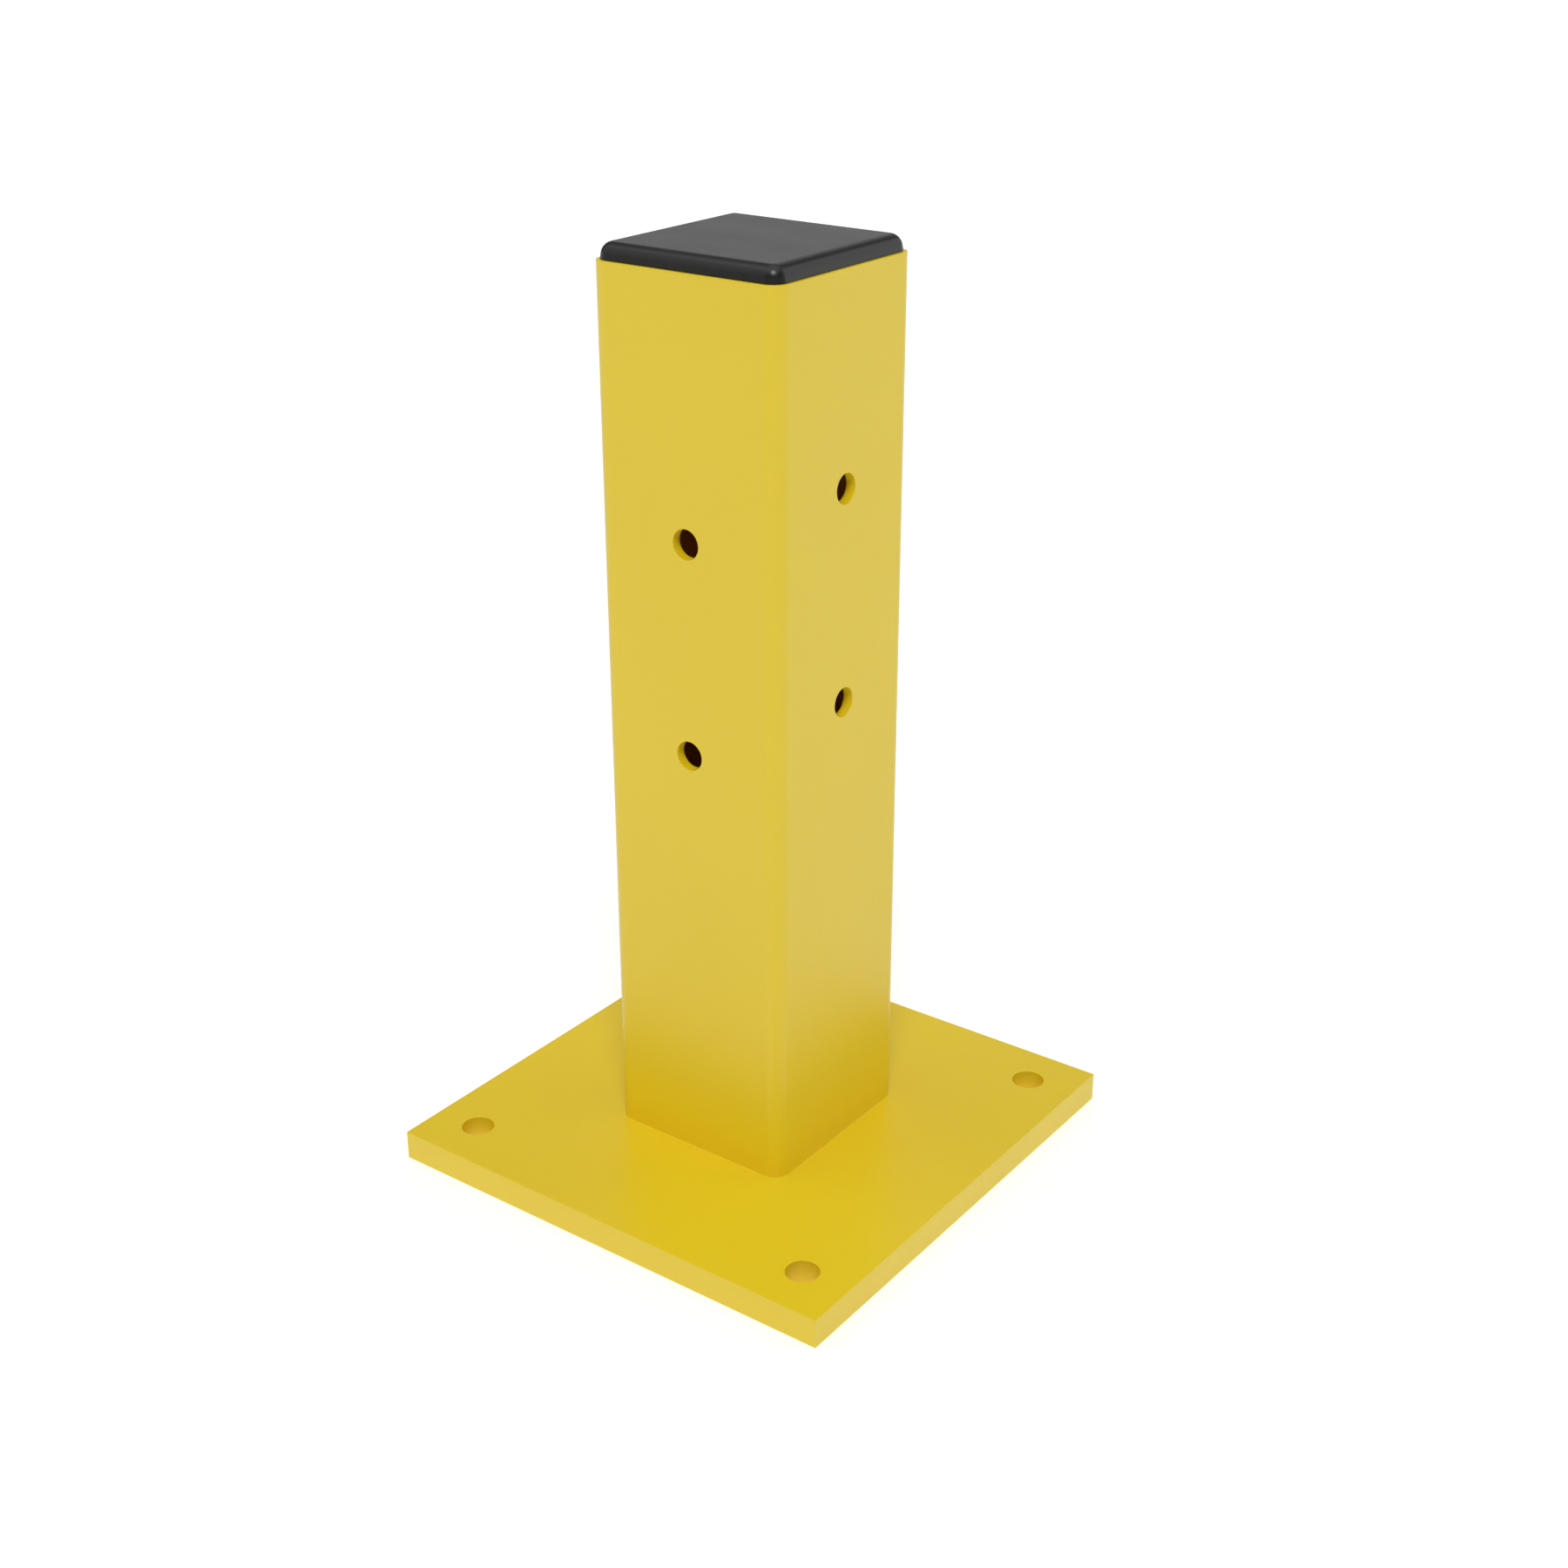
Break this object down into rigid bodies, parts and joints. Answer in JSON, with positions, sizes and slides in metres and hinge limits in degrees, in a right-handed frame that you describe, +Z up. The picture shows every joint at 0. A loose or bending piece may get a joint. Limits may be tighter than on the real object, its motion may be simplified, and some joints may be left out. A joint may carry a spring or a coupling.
{
  "type": "steel safety bollard",
  "caption": "Square-tube steel safety bollard on an anchored base plate, cross-drilled for guard rails and closed by a push-in cap.",
  "frame": {"origin": "middle of the base plate's underside, on the floor", "axes": "+Z up along the post; the face with the lower pair of rail holes looks along -Y and the face with the higher pair looks along +X"},
  "size_m": [0.25, 0.25, 0.4495],
  "materials": {
    "yellow_powder_coat": "satin powder coat, fine orange peel",
    "black_plastic": "moulded polyethylene, fine matt grain"
  },
  "bodies": {
    "root": {"base_plate": "yellow_powder_coat", "post_tube": "yellow_powder_coat", "base_weld": "yellow_powder_coat", "end_cap": "black_plastic"}
  },
  "joints": []
}
